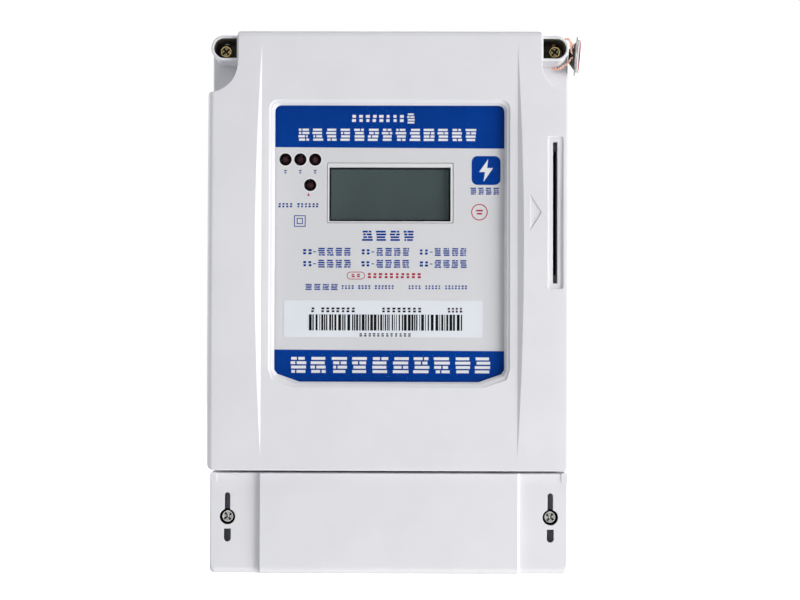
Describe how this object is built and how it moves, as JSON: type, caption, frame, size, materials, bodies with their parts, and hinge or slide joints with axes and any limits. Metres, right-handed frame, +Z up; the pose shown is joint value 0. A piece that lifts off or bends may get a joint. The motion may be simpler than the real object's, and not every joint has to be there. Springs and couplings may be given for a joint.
{
  "type": "prepaid electricity meter",
  "caption": "Wall-hung three-phase prepaid electricity meter with a card slot, display window, sealed screw ears and a separate terminal cover over a row of cable terminals.",
  "frame": {"origin": "centre of the flat back face that lies against the wall", "axes": "+Z up along the height, +X to the right as seen from the front, -Y out of the wall towards the reader, +Y into the wall"},
  "size_m": [0.1675, 0.075, 0.2406],
  "materials": {
    "casing": "satin",
    "gasket": "matt",
    "zinc_steel": "satin",
    "brass": "satin",
    "clear_lens": "clear",
    "plate": "satin",
    "label": "matt",
    "nickel_steel": "satin",
    "black_moulding": "satin",
    "copper": "satin",
    "blue_potting": "gloss",
    "dark_steel": "matt",
    "natural_nylon": "satin",
    "circuit_board": "gloss",
    "winding_tape": "satin",
    "capacitor_sleeve": "gloss",
    "chip_body": "matt",
    "battery_sleeve": "gloss",
    "white_moulding": "satin",
    "lcd_glass": "gloss",
    "light_guide": "gloss",
    "red_lamp": "gloss",
    "gold_contact": "polished",
    "ribbon": "satin",
    "seal_metal": "satin",
    "seal_red": "gloss"
  },
  "bodies": {
    "case": {"base": "casing", "case_gasket": "gasket", "threaded_inserts": "brass", "terminal_block": "black_moulding", "mains_terminals": "brass", "clamp_screws": "nickel_steel", "block_screws": "nickel_steel", "auxiliary_terminals": "black_moulding", "auxiliary_screws": "nickel_steel", "input_bars": "copper", "output_bars": "copper", "neutral_link": "copper", "current_transformer_a": "blue_potting", "current_transformer_b": "blue_potting", "current_transformer_c": "blue_potting", "relay_case": "black_moulding", "relay_lid": "black_moulding", "relay_coil": "copper", "relay_yoke": "dark_steel", "power_board": "circuit_board", "transformer_core": "dark_steel", "transformer_coil": "winding_tape", "capacitors": "capacitor_sleeve", "varistors": "blue_potting", "board_chips": "chip_body", "display_board": "circuit_board", "clock_battery": "battery_sleeve", "buzzer": "chip_body", "lcd_bezel": "white_moulding", "lcd_panel": "lcd_glass", "lcd_backlight": "light_guide", "phase_leds": "red_lamp", "pulse_led": "red_lamp", "board_screws": "nickel_steel", "card_socket": "black_moulding", "card_switch": "chip_body", "ribbon_cable": "ribbon"},
    "cover": {"front_cover": "casing", "window_lens": "clear_lens", "nameplate": "plate", "barcode_label": "label", "ear_screw_right": "brass"},
    "ear_screw_left": {"ear_screw_left": "brass"},
    "terminal_cover": {"terminal_cover": "casing", "wiring_label": "label"},
    "cover_screw_left": {"cover_screw_left": "nickel_steel"},
    "cover_screw_right": {"cover_screw_right": "nickel_steel"},
    "hook": {"hanging_hook": "zinc_steel"},
    "seal": {"seal_core": "black_moulding", "seal_rim": "seal_metal", "seal_disc": "white_moulding", "seal_cap": "seal_red", "seal_wire": "copper"},
    "armature": {"relay_armature": "dark_steel"},
    "pusher": {"relay_pusher": "natural_nylon"},
    "blade_a": {"relay_blade_a": "copper"},
    "blade_b": {"relay_blade_b": "copper"},
    "blade_c": {"relay_blade_c": "copper"},
    "card_contacts": {"card_contacts": "gold_contact"},
    "card_switch_button": {"card_switch_button": "natural_nylon"}
  },
  "joints": [
    {"name": "front_cover_lift", "type": "slide", "parent": "case", "child": "cover", "axis": [0, -1, 0], "range_m": [0, 0.09]},
    {"name": "terminal_cover_lift", "type": "slide", "parent": "case", "child": "terminal_cover", "axis": [0, -1, 0], "range_m": [0, 0.08]},
    {"name": "ear_screw_left_turn", "type": "hinge", "parent": "cover", "child": "ear_screw_left", "pos_m": [-0.0737, -0.05, 0.1125], "axis": [0, 1, 0], "continuous": true},
    {"name": "cover_screw_left_turn", "type": "hinge", "parent": "terminal_cover", "child": "cover_screw_left", "pos_m": [-0.0713, -0.06, -0.0949], "axis": [0, 1, 0], "continuous": true},
    {"name": "cover_screw_right_turn", "type": "hinge", "parent": "terminal_cover", "child": "cover_screw_right", "pos_m": [0.0713, -0.06, -0.0949], "axis": [0, 1, 0], "continuous": true},
    {"name": "hanging_hook_slide", "type": "slide", "parent": "case", "child": "hook", "axis": [0, 0, 1], "range_m": [0, 0.014]},
    {"name": "seal_swing", "type": "hinge", "parent": "cover", "child": "seal", "pos_m": [0.0737, -0.053, 0.1118], "axis": [0, 0, 1], "range_deg": [-6, 0]},
    {"name": "relay_armature_swing", "type": "hinge", "parent": "case", "child": "armature", "pos_m": [0.045, -0.025, -0.022], "axis": [0, 0, 1], "range_deg": [0, 5.73]},
    {"name": "relay_pusher_slide", "type": "slide", "parent": "case", "child": "pusher", "axis": [0, -1, 0], "range_m": [0, 0.0012]},
    {"name": "relay_blade_a_flex", "type": "hinge", "parent": "case", "child": "blade_a", "pos_m": [-0.0542, -0.0283, -0.028], "axis": [0, 0, -1], "range_deg": [0, 3.89]},
    {"name": "relay_blade_b_flex", "type": "hinge", "parent": "case", "child": "blade_b", "pos_m": [-0.0214, -0.0283, -0.028], "axis": [0, 0, -1], "range_deg": [0, 3.89]},
    {"name": "relay_blade_c_flex", "type": "hinge", "parent": "case", "child": "blade_c", "pos_m": [0.0114, -0.0283, -0.028], "axis": [0, 0, -1], "range_deg": [0, 3.89]},
    {"name": "card_contact_press", "type": "slide", "parent": "case", "child": "card_contacts", "axis": [-1, 0, 0], "range_m": [0, 0.0006], "stiffness_N_per_m": 800},
    {"name": "card_switch_press", "type": "slide", "parent": "case", "child": "card_switch_button", "axis": [0, 1, 0], "range_m": [0, 0.0014], "stiffness_N_per_m": 300}
  ],
  "couplings": [
    {"joint": "relay_pusher_slide", "follows": "relay_armature_swing", "m_per_rad": 0.012},
    {"joint": "relay_blade_a_flex", "follows": "relay_armature_swing", "ratio": 0.67797},
    {"joint": "relay_blade_b_flex", "follows": "relay_armature_swing", "ratio": 0.67797},
    {"joint": "relay_blade_c_flex", "follows": "relay_armature_swing", "ratio": 0.67797}
  ]
}
